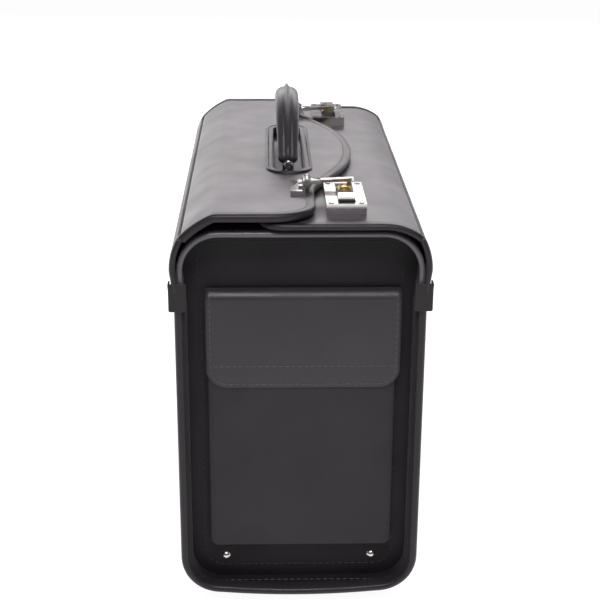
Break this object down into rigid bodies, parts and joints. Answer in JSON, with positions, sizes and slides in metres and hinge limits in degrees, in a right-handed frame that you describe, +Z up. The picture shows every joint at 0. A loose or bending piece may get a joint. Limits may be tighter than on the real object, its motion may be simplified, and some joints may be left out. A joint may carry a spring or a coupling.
{
  "type": "pilot rolling flight case",
  "caption": "Upright leather-covered flight case with two overlapping top lids, combination locks, slot-through handle, end pocket, pull-out trolley and wheels.",
  "frame": {"origin": "on the ground, under the middle of the whole object's box", "axes": "+Z up, +Y from the pocket end to the trolley end along the case's length, +X across the case towards the locks"},
  "size_m": [0.2226, 0.492, 0.4385],
  "materials": {
    "leather": "semi-matt smooth grain",
    "leather_trim": "fine grain with a soft sheen",
    "lining_cloth": "woven",
    "board": "raw fibreboard",
    "chrome": "polished",
    "brass": "satin",
    "black_plastic": "fine texture",
    "aluminium": "satin anodised",
    "rubber": "matt"
  },
  "bodies": {
    "case": {"side_wrap": "leather", "lining": "lining_cloth", "base_board": "board", "near_end_panel": "leather_trim", "far_end_panel": "leather_trim", "near_rim_binding": "leather", "far_rim_binding": "leather", "near_arch_piping": "leather_trim", "far_arch_piping": "leather_trim", "rim_tabs": "leather", "wrap_bindings": "leather", "left_hinge_strip": "leather_trim", "right_hinge_strip": "leather_trim", "near_pocket": "leather", "pocket_magnet": "chrome", "end_rivets": "chrome", "feet": "rubber", "divider": "lining_cloth", "wheel_housings": "black_plastic", "wheel_axles": "chrome", "trolley_outer_tubes": "aluminium", "trolley_top_bracket": "black_plastic", "trolley_base_bracket": "black_plastic", "trolley_screws": "chrome"},
    "outer_lid": {"outer_lid_panel": "leather", "outer_lid_binding": "leather_trim", "slot_trim": "leather", "near_hasp_plate": "chrome", "far_hasp_plate": "chrome", "hasp_pins": "chrome"},
    "inner_lid": {"inner_lid_panel": "leather", "inner_lid_binding": "leather_trim", "handle_posts": "chrome", "near_lock_case": "chrome", "far_lock_case": "chrome", "lock_screws": "chrome"},
    "near_hasp": {"near_hasp": "chrome"},
    "far_hasp": {"far_hasp": "chrome"},
    "near_slider": {"near_slider": "chrome"},
    "far_slider": {"far_slider": "chrome"},
    "handle": {"handle_grip": "leather_trim", "handle_shackles": "chrome"},
    "pocket_flap": {"pocket_flap": "leather", "flap_magnet": "chrome"},
    "trolley_lower": {"trolley_mid_tubes": "aluminium"},
    "trolley_upper": {"trolley_inner_tubes": "aluminium", "trolley_grip": "black_plastic"},
    "trolley_button": {"trolley_button": "aluminium"},
    "left_wheel": {"left_tyre": "rubber", "left_wheel_hub": "black_plastic"},
    "right_wheel": {"right_tyre": "rubber", "right_wheel_hub": "black_plastic"},
    "near_dial_1": {"near_dial_1": "brass"},
    "near_dial_2": {"near_dial_2": "brass"},
    "near_dial_3": {"near_dial_3": "brass"},
    "far_dial_1": {"far_dial_1": "brass"},
    "far_dial_2": {"far_dial_2": "brass"},
    "far_dial_3": {"far_dial_3": "brass"}
  },
  "joints": [
    {"name": "outer_lid_hinge", "type": "hinge", "parent": "case", "child": "outer_lid", "pos_m": [-0.10187, 0, 0.35511], "axis": [0, -1, 0], "range_deg": [0, 150], "deforming": ["handle_grip"]},
    {"name": "inner_lid_hinge", "type": "hinge", "parent": "case", "child": "inner_lid", "pos_m": [0.10187, 0, 0.35511], "axis": [0, 1, 0], "range_deg": [0, 67.5]},
    {"name": "near_hasp_hinge", "type": "hinge", "parent": "outer_lid", "child": "near_hasp", "pos_m": [0.0067, -0.166, 0.3825], "axis": [0, -1, 0], "range_deg": [-3, 150]},
    {"name": "far_hasp_hinge", "type": "hinge", "parent": "outer_lid", "child": "far_hasp", "pos_m": [0.0067, 0.135, 0.3825], "axis": [0, -1, 0], "range_deg": [-3, 150]},
    {"name": "near_lock_slide", "type": "slide", "parent": "inner_lid", "child": "near_slider", "axis": [0, -1, 0], "range_m": [0, 0.0035], "stiffness_N_per_m": 400},
    {"name": "far_lock_slide", "type": "slide", "parent": "inner_lid", "child": "far_slider", "axis": [0, 1, 0], "range_m": [0, 0.0035], "stiffness_N_per_m": 400},
    {"name": "handle_tilt", "type": "hinge", "parent": "inner_lid", "child": "handle", "pos_m": [-0.0085, -0.0155, 0.374], "axis": [0, -1, 0], "range_deg": [-36, 27]},
    {"name": "pocket_flap_hinge", "type": "hinge", "parent": "case", "child": "pocket_flap", "pos_m": [0, -0.2166, 0.3013], "axis": [-1, 0, 0], "range_deg": [0, 90]},
    {"name": "trolley_lower_slide", "type": "slide", "parent": "case", "child": "trolley_lower", "axis": [0, 0, 1], "range_m": [0, 0.265]},
    {"name": "trolley_upper_slide", "type": "slide", "parent": "trolley_lower", "child": "trolley_upper", "axis": [0, 0, 1], "range_m": [0, 0.265]},
    {"name": "trolley_button_press", "type": "slide", "parent": "trolley_upper", "child": "trolley_button", "axis": [0, 0, -1], "range_m": [0, 0.0025], "stiffness_N_per_m": 600},
    {"name": "left_wheel_spin", "type": "hinge", "parent": "case", "child": "left_wheel", "pos_m": [-0.06, 0.212, 0.02], "axis": [1, 0, 0], "continuous": true},
    {"name": "right_wheel_spin", "type": "hinge", "parent": "case", "child": "right_wheel", "pos_m": [0.06, 0.212, 0.02], "axis": [1, 0, 0], "continuous": true},
    {"name": "near_dial_1_spin", "type": "hinge", "parent": "inner_lid", "child": "near_dial_1", "pos_m": [0.039, -0.1812, 0.3755], "axis": [0, 1, 0], "continuous": true},
    {"name": "near_dial_2_spin", "type": "hinge", "parent": "inner_lid", "child": "near_dial_2", "pos_m": [0.039, -0.1773, 0.3755], "axis": [0, 1, 0], "continuous": true},
    {"name": "near_dial_3_spin", "type": "hinge", "parent": "inner_lid", "child": "near_dial_3", "pos_m": [0.039, -0.1734, 0.3755], "axis": [0, 1, 0], "continuous": true},
    {"name": "far_dial_1_spin", "type": "hinge", "parent": "inner_lid", "child": "far_dial_1", "pos_m": [0.039, 0.1502, 0.3755], "axis": [0, 1, 0], "continuous": true},
    {"name": "far_dial_2_spin", "type": "hinge", "parent": "inner_lid", "child": "far_dial_2", "pos_m": [0.039, 0.1463, 0.3755], "axis": [0, 1, 0], "continuous": true},
    {"name": "far_dial_3_spin", "type": "hinge", "parent": "inner_lid", "child": "far_dial_3", "pos_m": [0.039, 0.1424, 0.3755], "axis": [0, 1, 0], "continuous": true}
  ],
  "couplings": [
    {"joint": "inner_lid_hinge", "follows": "outer_lid_hinge", "ratio": 0.45}
  ]
}
